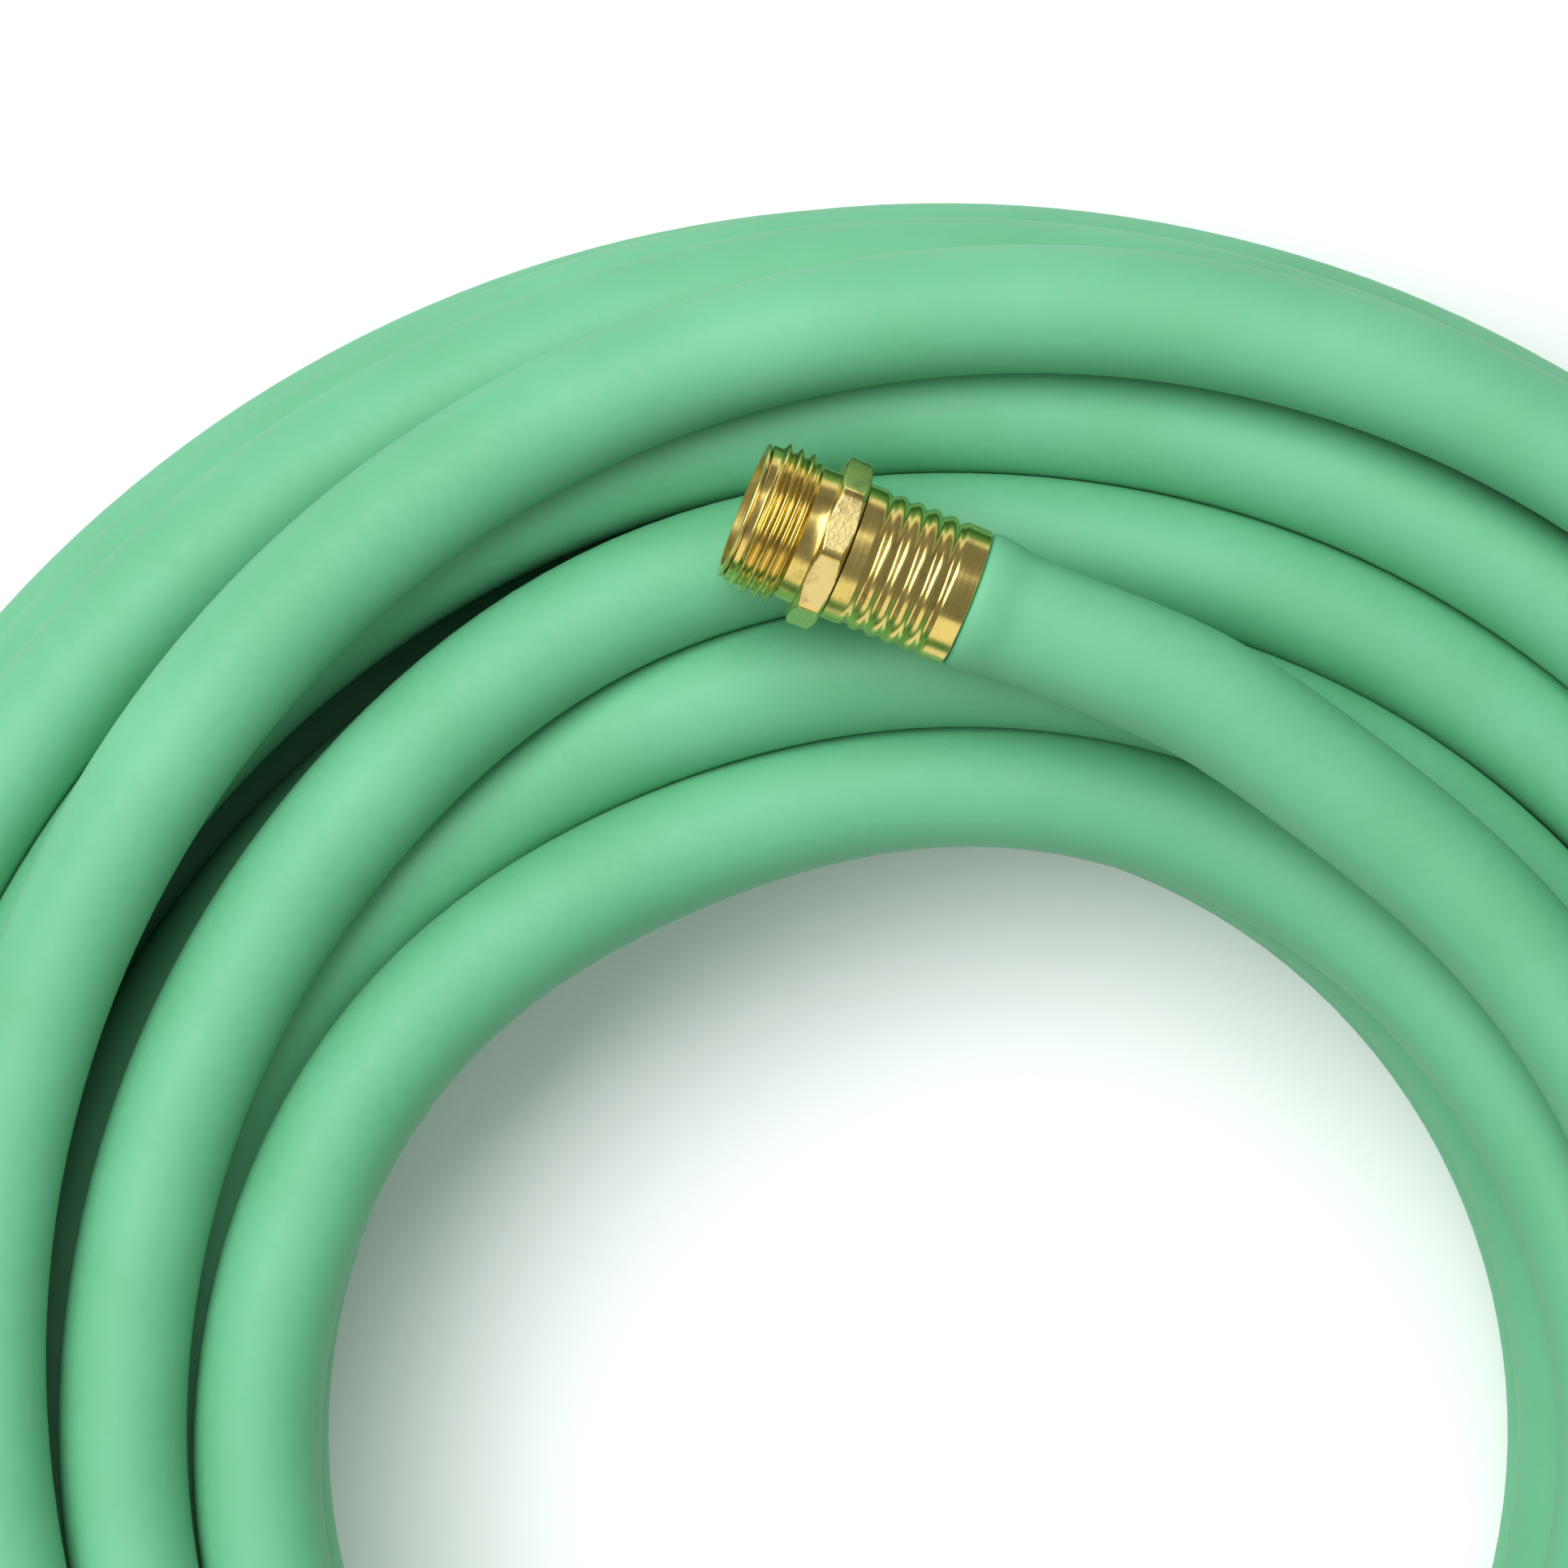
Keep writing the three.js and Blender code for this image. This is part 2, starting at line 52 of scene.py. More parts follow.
MALE_END = COIL_MIDDLE + Vector((0.0015, 0.146, 0.0895))
MALE_TURN = 158.7
MALE_TILT = 5.4
FEMALE_END = COIL_MIDDLE + Vector((-0.008, -0.2365, 0.0174))
FEMALE_TURN = 180.0


def mouth_way(turn, tilt):
    heading = math.radians(turn)
    rise = math.radians(tilt)
    return Vector((
        math.cos(heading) * math.cos(rise),
        math.sin(heading) * math.cos(rise),
        math.sin(rise),
    ))


MALE_WAY = mouth_way(MALE_TURN, MALE_TILT)
FEMALE_WAY = mouth_way(FEMALE_TURN, 0.0)

# ---- camera ------------------------------------------------------------------------------------

CAMERA_TARGET = COIL_MIDDLE + Vector((-0.0299, 0.1138, 0.0915))
CAMERA_DISTANCE = 1.5
CAMERA_ELEVATION = 88.0
CAMERA_LENS = 200.0

camera_data = bpy.data.cameras.new("camera")
camera_data.lens = CAMERA_LENS
camera_data.sensor_width = 36.0
camera_data.clip_start = 0.05
camera_data.clip_end = 20.0
camera = bpy.data.objects.new("camera", camera_data)
bpy.context.scene.collection.objects.link(camera)
bpy.context.scene.camera = camera
rise = math.radians(CAMERA_ELEVATION)
back = Vector((0.0, -math.cos(rise), math.sin(rise)))
camera.location = CAMERA_TARGET + back * CAMERA_DISTANCE
camera.rotation_mode = "QUATERNION"
camera.rotation_quaternion = (-back).to_track_quat("-Z", "Y")

# ---- the hose's route --------------------------------------------------------------------------

# Turns of the coil from the female end to the male end, counter-clockwise.
# radius, middle x, middle y, height, rise towards +x, lift at the far side, ovalness; in mm
TURNS = [
    (210.8, -6.8, 0, 11.3, 0, 0, 0),
    (187.8, -5, 0, 11.3, 0, 0, 0),
    (165.0, -4, 0, 11.3, 0, 0, 0),
    (119.8, -7, -0.2, 11.3, 0, 0, 0),
    (119.2, -6.3, -0.3, 33.4, 0, 0, 0),
    (154.0, -4, -1, 33.4, 0, 0, 0),
    (187.0, -3, -1, 33.4, 0, 0, 0),
    (210.6, -1.6, -1.6, 33.6, 0, 0, 0),
    (201.7, -0.7, 2.5, 55.6, 0, 0, 0),
    (182.5, 13, 15, 77.0, 0, 0, 0),
    (180.8, -2, 0, 59.5, 4, 0, 0),
    (155.2, 10, 2, 58.5, -7, 3, 0),
    (138.5, 0, 0, 51.0, 6, 13, 0.013),
    (120.2, -2.6, -2.8, 58.0, -4, -4, 0),
]
# Between two turns the hose changes lane on the near side: from this angle to that one,
# and bulges outwards by so many mm on its way.
LANE_CHANGES = [
    (-165, -15, 0),
    (-165, -15, 0),
    (-165, -15, 0),
    (-165, -15, -6),
    (-160, -20, 0),
    (-160, -20, 0),
    (-160, -20, 0),
    (-160, -20, 10),
    (-160, -20, 22),
    (-160, -20, 24),
    (-160, -20, 14),
    (-160, -20, 2),
    (-160, -20, -4),
]
COIL_START = -24.0
COIL_END = 360.0 * (len(TURNS) - 1) + 208.0
COIL_ANGLE_STEP = 5.0
LIFT_SHARPNESS = 4  # the larger, the shorter the lifted stretch at the far side

# The loose stretches at the two ends, measured from the coil's middle.
FEMALE_ROUTE = [
    (0.014, -0.2365, 0.0172),
    (0.036, -0.2363, 0.0162),
    (0.060, -0.2335, 0.0138),
    (0.084, -0.2265, 0.0120),
    (0.107, -0.2145, 0.0114),
    (0.128, -0.1980, 0.0113),
    (0.148, -0.1770, 0.0113),
    (0.165, -0.1510, 0.0113),
]
JOIN_POINT = (0.179, -0.122, 0.0113)
MALE_ROUTE = [
    (0.040, 0.1306, 0.0858),
    (0.062, 0.1164, 0.0826),
    (0.078, 0.1043, 0.0802),
    (0.099, 0.0845, 0.0782),
    (0.1126, 0.065, 0.0777),
    (0.1222, 0.0445, 0.0777),
    (0.128, 0.0226, 0.0777),
    (0.130, 0.0, 0.0777),
    (0.128, -0.0226, 0.0777),
    (0.1222, -0.0445, 0.0777),
    (0.1126, -0.065, 0.0777),
    (0.0919, -0.0919, 0.0777),
    (0.065, -0.1124, 0.0777),
    (0.033, -0.1245, 0.0768),
    (0.0, -0.127, 0.074),
    (-0.033, -0.121, 0.0695),
    (-0.066, -0.103, 0.065),
    (-0.092, -0.080, 0.0623),
]


def eased(t):
    t = min(max(t, 0.0), 1.0)
    return t * t * t * (t * (6 * t - 15) + 10)


def on_turn(turn, angle):
    radius, mid_x, mid_y, height, rise_x, lift, oval = turn
    radius = radius * (1 + oval * math.cos(2 * angle))
    return np.array((
        mid_x + radius * math.cos(angle),
        mid_y + radius * math.sin(angle),
        height + rise_x * math.cos(angle) + lift * max(0.0, math.sin(angle)) ** LIFT_SHARPNESS,
    ))


def between(first, change, local, angle):
    """The hose on its way from turn `first` to the next one; `local` is its angle in degrees."""
    start, end, bulge = change
    t = (local - start) / (end - start)
    share = eased(t)
    point = (1 - share) * on_turn(TURNS[first], angle) + share * on_turn(TURNS[first + 1], angle)
    swell = bulge * eased(3 * t) * eased(3 * (1 - t))
    return point + swell * np.array((math.cos(angle), math.sin(angle), 0.0))


def wound_points():
    points = []
    count = int(round((COIL_END - COIL_START) / COIL_ANGLE_STEP))
    for i in range(count + 1):
        degrees = COIL_START + i * COIL_ANGLE_STEP
        if degrees > COIL_END:
            break
        turn = min(max(int((degrees + 90) // 360), 0), len(TURNS) - 1)
        local = degrees - 360 * turn
        angle = math.radians(degrees)
        if turn > 0 and local < LANE_CHANGES[turn - 1][1]:
            points.append(between(turn - 1, LANE_CHANGES[turn - 1], local, angle))
        elif turn < len(TURNS) - 1 and local - 360 > LANE_CHANGES[turn][0]:
            points.append(between(turn, LANE_CHANGES[turn], local - 360, angle))
        else:
            points.append(on_turn(TURNS[turn], angle))
    return points


def spline_through(points, samples_each):
    """A natural cubic spline through the points, by chord length."""
    points = np.array(points)
    gaps = np.linalg.norm(np.diff(points, axis=0), axis=1)
    knots = np.concatenate(((0.0,), np.cumsum(gaps)))
    count = len(points)
    lower = np.zeros(count)
    middle = np.ones(count)
    upper = np.zeros(count)
    right = np.zeros((count, 3))
    lower[1:-1] = gaps[:-1]
    upper[1:-1] = gaps[1:]
    middle[1:-1] = 2 * (gaps[:-1] + gaps[1:])
    slopes = np.diff(points, axis=0) / gaps[:, None]
    right[1:-1] = 6 * np.diff(slopes, axis=0)
    for i in range(1, count):
        factor = lower[i] / middle[i - 1]
        middle[i] -= factor * upper[i - 1]
        right[i] -= factor * right[i - 1]
    bend = np.zeros((count, 3))
    bend[-1] = right[-1] / middle[-1]
    for i in range(count - 2, -1, -1):
        bend[i] = (right[i] - upper[i] * bend[i + 1]) / middle[i]
    where = np.linspace(0.0, knots[-1], count * samples_each)
    span = np.clip(np.searchsorted(knots, where, side="right") - 1, 0, count - 2)
    size = gaps[span][:, None]
    ahead = (knots[span + 1] - where)[:, None] / size
    behind = 1 - ahead
    curve = (ahead ** 3 - ahead) * bend[span] + (behind ** 3 - behind) * bend[span + 1]
    return ahead * points[span] + behind * points[span + 1] + curve * size ** 2 / 6


def evenly_spaced(line, step):
    reach = np.concatenate(((0.0,), np.cumsum(np.linalg.norm(np.diff(line, axis=0), axis=1))))
    count = int(reach[-1] / step)
    places = np.linspace(0.0, reach[-1], count + 1)
    return np.stack([np.interp(places, reach, line[:, k]) for k in range(3)], axis=-1), reach[-1]


def smoothed(values, half):
    weights = np.hanning(2 * half + 3)[1:-1]
    weights /= weights.sum()
    padded = np.pad(values, ((half, half), (0, 0)), mode="edge")
    return np.stack([np.convolve(padded[:, k], weights, "valid") for k in range(3)], axis=-1)


# How the wound turns settle against one another; lengths in mm.
SPLINE_SAMPLES = 24
SETTLE_STEP = 6.0
SETTLE_ROUNDS = 150
SETTLE_GAP = 22.4  # strands whose middles are nearer than this are pushed apart
SETTLE_SMOOTH = 9  # steps over which one push is spread, each way
SETTLE_PUSH = 0.8
SAME_STRETCH = 12  # points nearer than this along the hose never push each other
FLOOR_HEIGHT = 11.3
# The hose keeps its place this far from an end, and is freed over the second length.
FEMALE_HELD = (160, 120)
MALE_HELD = (330, 150)
FINAL_SMOOTH = 4
FINAL_HELD = (60, 60)


def freed(from_end, held):
    """0 where the hose is held near its end and 1 where it is free to move."""
    still, over = held
    return np.clip((from_end - still) / over, 0, 1)


def settled(points, length):
    """Pushes turns that lie in one another apart, round by round, and holds the two ends still."""
    count = len(points)
    along = np.arange(count) * length / (count - 1)
    hold = freed(along, FEMALE_HELD) * freed(length - along, MALE_HELD)
    points = points.copy()
    for _ in range(SETTLE_ROUNDS):
        tree = kdtree.KDTree(count)
        for i, point in enumerate(points):
            tree.insert(point, i)
        tree.balance()
        firsts = []
        seconds = []
        for i, point in enumerate(points):
            for _near, k, _distance in tree.find_range(point, SETTLE_GAP):
                if k - i > SAME_STRETCH:
                    firsts.append(i)
                    seconds.append(k)
        if not firsts:
            break
        firsts = np.array(firsts)
        seconds = np.array(seconds)
        apart = points[firsts] - points[seconds]
        distance = np.linalg.norm(apart, axis=1)[:, None]
        push = apart / distance * (SETTLE_GAP - distance) * SETTLE_PUSH
        moves = np.zeros_like(points)
        touches = np.zeros(count)
        np.add.at(moves, firsts, push)
        np.add.at(moves, seconds, -push)
        np.add.at(touches, firsts, 1)
        np.add.at(touches, seconds, 1)
        moves /= np.maximum(touches, 1)[:, None]
        points += smoothed(moves, SETTLE_SMOOTH) * hold[:, None]
        points[:, 2] = np.maximum(points[:, 2], FLOOR_HEIGHT)
    ends = freed(along, FINAL_HELD) * freed(length - along, FINAL_HELD)
    return points + (smoothed(points, FINAL_SMOOTH) - points) * ends[:, None]


# The hose leaves the male ferrule straight, through points at these distances.
STRAIGHT_OUT = (10.0, 22.0)


def hose_line():
    """The hose's centreline from the male ferrule to the female one, in metres in the CAD frame."""
    middle = np.array(COIL_MIDDLE)
    female_end = (np.array(FEMALE_END) - middle) / MM
    male_end = (np.array(MALE_END) - middle) / MM
    points = [female_end]
    points += [np.array(point) / MM for point in FEMALE_ROUTE]
    points.append(np.array(JOIN_POINT) / MM)
    points += wound_points()
    points += [np.array(point) / MM for point in reversed(MALE_ROUTE)]
    for reach in reversed(STRAIGHT_OUT):
        points.append(male_end - np.array(MALE_WAY) * reach)
    points.append(male_end)
    line, length = evenly_spaced(spline_through(points, SPLINE_SAMPLES), SETTLE_STEP)
    line = settled(line, length)
    return line[::-1] * MM + middle


# ---- helpers for meshes and materials ----------------------------------------------------------

def mesh_object(name, vertices, faces, material, sharp=None):
    mesh = bpy.data.meshes.new(name)
    mesh.from_pydata([tuple(v) for v in vertices], [], [tuple(f) for f in faces])
    mesh.materials.append(material)
    mesh.shade_smooth()
    if sharp is not None:
        mesh.set_sharp_from_angle(angle=math.radians(sharp))
    mesh.update()
    obj = bpy.data.objects.new(name, mesh)
    bpy.context.scene.collection.objects.link(obj)
    return obj


def ring_faces(rows, columns, close_rows=False, capped=False):
    """Quads between rings of `columns` vertices; the normals point away from the axis."""
    faces = []
    last = rows if close_rows else rows - 1
    for i in range(last):
        here = i * columns
        there = ((i + 1) % rows) * columns
        for k in range(columns):
            n = (k + 1) % columns
            faces.append((here + k, here + n, there + n, there + k))
    if capped:
        faces.append(tuple(reversed(range(columns))))
        end = (rows - 1) * columns
        faces.append(tuple(range(end, end + columns)))
    return faces


def noise(nodes, links, where, scale, detail=3.0, roughness=0.5, stretch=None):
    texture = nodes.new("ShaderNodeTexNoise")
    texture.inputs["Scale"].default_value = scale
    texture.inputs["Detail"].default_value = detail
    texture.inputs["Roughness"].default_value = roughness
    if stretch is None:
        links.new(where, texture.inputs["Vector"])
    else:
        mapping = nodes.new("ShaderNodeMapping")
        mapping.inputs["Scale"].default_value = stretch
        links.new(where, mapping.inputs["Vector"])
        links.new(mapping.outputs["Vector"], texture.inputs["Vector"])
    return texture.outputs["Fac"]


def ramp(nodes, links, value, stops):
    node = nodes.new("ShaderNodeValToRGB")
    while len(node.color_ramp.elements) < len(stops):
        node.color_ramp.elements.new(0.5)
    for element, (place, color) in zip(node.color_ramp.elements, stops):
        element.position = place
        element.color = (*color, 1.0)
    links.new(value, node.inputs["Fac"])
    return node.outputs["Color"]


def from_srgb(red, green, blue):
    """Linear colour from 8-bit sRGB."""
    out = []
    for value in (red, green, blue):
        value /= 255
        out.append(value / 12.92 if value <= 0.04045 else ((value + 0.055) / 1.055) ** 2.4)
    return tuple(out)


def to_range(nodes, links, value, low, high, from_low=0.3, from_high=0.7):
    node = nodes.new("ShaderNodeMapRange")
    node.inputs["From Min"].default_value = from_low
    node.inputs["From Max"].default_value = from_high
    node.inputs["To Min"].default_value = low
    node.inputs["To Max"].default_value = high
    links.new(value, node.inputs["Value"])
    return node.outputs["Result"]


def bumped(nodes, links, heights, shader):
    """Adds bumps one on the other. `heights` holds (value, distance, strength)."""
    before = None
    for value, distance, strength in heights:
        bump = nodes.new("ShaderNodeBump")
        bump.inputs["Distance"].default_value = distance
        bump.inputs["Strength"].default_value = strength
        links.new(value, bump.inputs["Height"])
        if before is not None:
            links.new(before, bump.inputs["Normal"])
        before = bump.outputs["Normal"]
    links.new(before, shader.inputs["Normal"])


def new_material(name):
    material = bpy.data.materials.new(name)
    material.use_nodes = True
    nodes = material.node_tree.nodes
    links = material.node_tree.links
    shader = nodes["Principled BSDF"]
    where = nodes.new("ShaderNodeTexCoord").outputs["Object"]
    return material, nodes, links, shader, where


def hose_material():
    material, nodes, links, shader, where = new_material("hose_green")
    broad = noise(nodes, links, where, 26.0, 3.0)
    fine = noise(nodes, links, where, 420.0, 4.0, 0.6)
    grain = noise(nodes, links, where, 2600.0, 2.0, 0.5)
    color = ramp(nodes, links, broad, (
        (0.3, from_srgb(91, 172, 124)),
        (0.7, from_srgb(101, 181, 137)),
    ))
    speck = ramp(nodes, links, fine, (
        (0.25, (0.93, 0.93, 0.93)),
        (0.55, (1.0, 1.0, 1.0)),
    ))
    mix = nodes.new("ShaderNodeMix")
    mix.data_type = "RGBA"
    mix.blend_type = "MULTIPLY"
    mix.inputs["Factor"].default_value = 0.6
    links.new(color, mix.inputs["A"])
    links.new(speck, mix.inputs["B"])
    links.new(mix.outputs["Result"], shader.inputs["Base Color"])
    links.new(to_range(nodes, links, fine, 0.58, 0.72), shader.inputs["Roughness"])
    shader.inputs["Specular IOR Level"].default_value = 0.7
    bumped(nodes, links, ((fine, 0.00012, 0.35), (grain, 0.00003, 0.5)), shader)
    return material


def brass_material(name, tint, rough, grain_distance=0.0):
    material, nodes, links, shader, where = new_material(name)
    broad = noise(nodes, links, where, 60.0, 3.0)
    patina = noise(nodes, links, where, 260.0, 5.0, 0.65)
    lines = noise(nodes, links, where, 260.0, 3.0, 0.6, stretch=(0.1, 12.0, 0.1))
    color = ramp(nodes, links, patina, (
        (0.28, tuple(0.62 * c for c in tint)),
        (0.46, tint),
        (0.75, tuple(min(1.0, 1.08 * c) for c in tint)),
    ))
    links.new(color, shader.inputs["Base Color"])
    shader.inputs["Metallic"].default_value = 1.0
    mix = nodes.new("ShaderNodeMath")
    mix.operation = "ADD"
    links.new(to_range(nodes, links, broad, rough - 0.04, rough + 0.05), mix.inputs[0])
    links.new(to_range(nodes, links, lines, -0.03, 0.05), mix.inputs[1])
    links.new(mix.outputs["Value"], shader.inputs["Roughness"])
    heights = [(lines, 0.00002, 0.3), (patina, 0.00002, 0.25)]
    if grain_distance:
        grain = noise(nodes, links, where, 1500.0, 3.0, 0.6)
        heights.append((grain, grain_distance, 0.6))
    bumped(nodes, links, heights, shader)
    return material


def washer_material():
    material, nodes, links, shader, where = new_material("washer_black")
    grain = noise(nodes, links, where, 900.0, 4.0, 0.6)
    dust = noise(nodes, links, where, 150.0, 3.0)
    color = ramp(nodes, links, dust, ((0.35, (0.012, 0.012, 0.012)), (0.75, (0.045, 0.043, 0.04))))
    links.new(color, shader.inputs["Base Color"])
    links.new(to_range(nodes, links, grain, 0.6, 0.85), shader.inputs["Roughness"])
    bumped(nodes, links, ((grain, 0.00008, 0.5),), shader)
    return material


HOSE_GREEN = hose_material()
BRASS = brass_material("brass", from_srgb(222, 197, 114), 0.19)
BRASS_FLATS = brass_material("brass_flats", from_srgb(224, 203, 136), 0.24, 0.00004)
BRASS_SLEEVE = brass_material("brass_sleeve", from_srgb(226, 204, 124), 0.26)
WASHER_BLACK = washer_material()

# ---- the hose ----------------------------------------------------------------------------------

HOSE_SIDES = 28
HOSE_STEP = 6.0 * MM
HIDDEN_END = 3 * MM  # the tube runs on this far inside each ferrule
LINE_SAMPLES = 4
# Radius of the hose behind a ferrule, by distance from the ferrule's end, in mm.
END_STATIONS = (-2.5, -0.6, 0.0, 0.25, 0.7, 1.4, 2.2, 3.2, 4.4, 5.6, 6.8, 8.0, 9.4, 11.0, 13.0)
END_RADII = (
    10.6, 10.7, 11.2, 11.7, 12.05, 12.3, 12.38, 12.34, 12.2, 11.95, 11.7, 11.45, 11.3, 11.25, 11.25,
)


def hose_stations(length):
    ends = [s * MM for s in END_STATIONS]
    first = ends[-1]
    count = int(round((length - 2 * first) / HOSE_STEP))
    middle = [first + (length - 2 * first) * i / count for i in range(1, count)]
    return ends + middle + [length - s for s in reversed(ends)]


def hose_radius(place, length):
    near = min(place, length - place) / MM
    return float(np.interp(near, END_STATIONS, END_RADII)) * MM


def make_hose():
    line = hose_line()
    # A little straight hose inside each ferrule keeps the tube's ends out of sight.
    fine = spline_through(line, LINE_SAMPLES)
    reach = np.concatenate(((0.0,), np.cumsum(np.linalg.norm(np.diff(fine, axis=0), axis=1))))
    length = reach[-1]
    fine = np.vstack((
        line[0] + np.array(MALE_WAY) * HIDDEN_END,
        fine,
        line[-1] + np.array(FEMALE_WAY) * HIDDEN_END,
    ))
    reach = np.concatenate(((-HIDDEN_END,), reach, (length + HIDDEN_END,)))
    places = hose_stations(length)
    centres = np.stack([np.interp(places, reach, fine[:, k]) for k in range(3)], axis=-1)
    ways = np.gradient(centres, axis=0)
    ways /= np.linalg.norm(ways, axis=1)[:, None]
    side = np.cross(ways[0], (0.0, 0.0, 1.0))
    side /= np.linalg.norm(side)
    angles = np.arange(HOSE_SIDES) / HOSE_SIDES * 2 * math.pi
    vertices = []
    for place, centre, way in zip(places, centres, ways):
        side = side - way * np.dot(side, way)
        side /= np.linalg.norm(side)
        other = np.cross(way, side)
        radius = hose_radius(place, length)
        for angle in angles:
            vertices.append(centre + radius * (math.cos(angle) * side + math.sin(angle) * other))
    faces = ring_faces(len(places), HOSE_SIDES, capped=True)
    obj = mesh_object("hose", vertices, faces, HOSE_GREEN)
    exposed = [c for c, s in zip(centres, places) if 0 <= s <= length]
    return obj, exposed, length


hose, hose_path, hose_length = make_hose()
print("hose length", round(hose_length, 3), "rings", len(hose_path))

# ---- brass ends --------------------------------------------------------------------------------

# All lengths of the fittings are in mm, in the fitting's own frame.
THREAD_PITCH = 25.4 / 11.5
THREAD_CREST_R = 13.5
THREAD_ROOT_R = 12.3
THREAD_DEPTH = THREAD_CREST_R - THREAD_ROOT_R
CREST_HALF_WIDTH = 0.12
FLANK_WIDTH = 0.8
FLANK_SOFTNESS = 0.55  # share of a smooth flank in a straight one
THREAD_RUN_OUT = 0.8  # the thread fades away over this length at both ends
CORNER_CUT = 0.1225  # a flat-sided piece's corner is this much lower than a sharp one
CORNER_BLEND = 0.12
FAR_FROM_CORNER = 4  # in blends; from here the flat is left as it is
FLAT_POINTS = 26
CORNER_CROWDING = 0.8
CONE_OVER = 0.1  # the turned cone stands this much over the corners where a chamfer begins
CONE_UNDER = 0.15  # and this much under the flats at the end face
FLAT_EDGE = 0.05
FLAT_NEAR = 0.02
MACHINED_SHARP = 32.0  # edges sharper than this many degrees stay crisp on machined pieces
MALE_LENGTH = 41.4
FEMALE_FERRULE_START = 18.2
FEMALE_LENGTH = FEMALE_FERRULE_START + 22.7


def fitting_matrix(hose_end, way, length):
    """Y runs from the mouth to the hose, Z is the side that looks up; lengths in mm."""
    along = -way
    side = along.cross(Vector((0, 0, 1))).normalized()
    up = side.cross(along)
    mouth = hose_end + way * length * MM
    matrix = Matrix((side, along, up)).transposed().to_4x4()
    matrix.translation = mouth
    return matrix


MALE_FRAME = fitting_matrix(MALE_END, MALE_WAY, MALE_LENGTH)
FEMALE_FRAME = fitting_matrix(FEMALE_END, FEMALE_WAY, FEMALE_LENGTH)


def placed(name, matrix, rows, faces, material, sharp=30.0, smooth_part=None):
    """Rows hold vertices in the fitting's own frame, in mm. No edge in smooth_part is sharp."""
    vertices = [(x * MM, y * MM, z * MM) for row in rows for x, y, z in row]
    obj = mesh_object(name, vertices, faces, material, sharp)
    obj.matrix_world = matrix
    if smooth_part is not None:
        low, high = (place * MM for place in smooth_part)
        mesh = obj.data
        for edge in mesh.edges:
            places = [mesh.vertices[v].co.y for v in edge.vertices]
            if low < min(places) and max(places) < high:
                edge.use_edge_sharp = False
    return obj


def around(along, radius_at, angles):
    return [
        (radius_at(a) * math.sin(a), along, radius_at(a) * math.cos(a))
        for a in angles
    ]


def even_angles(count):
    return [2 * math.pi * k / count for k in range(count)]


def rounded_outline(points, arc=4):
    """Breaks the corners of a closed outline. Each point is (along, radius, rounding)."""
    out = []
    count = len(points)
    for i in range(count):
        here = np.array(points[i][:2], dtype=float)
        rounding = points[i][2] if len(points[i]) > 2 else 0.0
        if rounding <= 0:
            out.append(tuple(here))
            continue
        before = np.array(points[i - 1][:2]) - here
        after = np.array(points[(i + 1) % count][:2]) - here
        reach = min(rounding, 0.45 * np.linalg.norm(before), 0.45 * np.linalg.norm(after))
        start = here + before / np.linalg.norm(before) * reach
        end = here + after / np.linalg.norm(after) * reach
        for k in range(arc + 1):
            t = k / arc
            out.append(tuple((1 - t) ** 2 * start + 2 * t * (1 - t) * here + t * t * end))
    return out


def turned(name, matrix, outline, material, sides=96, sharp=40.0):
    """A ring about Y. The outline is closed and goes round with the metal on its right."""
    angles = even_angles(sides)
    rows = [around(along, lambda _a, r=radius: r, angles) for along, radius in outline]
    faces = ring_faces(len(rows), sides, close_rows=True)
    return placed(name, matrix, rows, faces, material, sharp)


def thread_height(along, angle, start, end, phase):
    """0 at the root and 1 at the crest of a right-handed thread."""
    turn = (along / THREAD_PITCH + angle / (2 * math.pi) + phase) % 1.0
    from_crest = abs(turn - 0.5) * THREAD_PITCH
    ridge = 1 - (from_crest - CREST_HALF_WIDTH) / FLANK_WIDTH
    ridge = min(max(ridge, 0.0), 1.0)
    ridge = ridge * ridge * (3 - 2 * ridge) * FLANK_SOFTNESS + ridge * (1 - FLANK_SOFTNESS)
    rising = min(max((along - start) / THREAD_RUN_OUT, 0.0), 1.0)
    falling = min(max((end - along) / THREAD_RUN_OUT, 0.0), 1.0)
    return ridge * rising * falling


def octagon_angles(sides, roll):
    """Angles round a flat-sided piece, closer together near its corners."""
    out = []
    half = math.pi / sides
    for s in range(sides):
        mid = roll + 2 * math.pi * s / sides
        for k in range(FLAT_POINTS):
            t = -1 + 2 * (k + 0.5) / FLAT_POINTS
            out.append(mid + half * (abs(t) ** CORNER_CROWDING) * (1 if t > 0 else -1))
    return out


def flat_radius(flats, sides, roll, angle):
    """Radius of a polygon with slightly rounded corners at an angle."""
    half = math.pi / sides
    local = (angle - roll + half) % (2 * half) - half
    plain = flats / 2 / math.cos(local)
    corner = flats / 2 / math.cos(half)
    gap = (corner - CORNER_CUT - plain) / CORNER_BLEND
    if gap > FAR_FROM_CORNER:
        return plain
    return plain - CORNER_BLEND * math.log(1 + math.exp(-gap))


COLLAR_START = 13.4
COLLAR_END = 18.4
COLLAR_FLATS = 28.6
COLLAR_SIDES = 8
COLLAR_ROLL = math.radians(-13)
COLLAR_CHAMFER = 0.8
COLLAR_ROWS = 40
MALE_THREAD = (1.9, 9.9)
MALE_THREAD_PHASE = 0.15
MALE_ROW_STEP = 0.12
NECK_R = 12.05
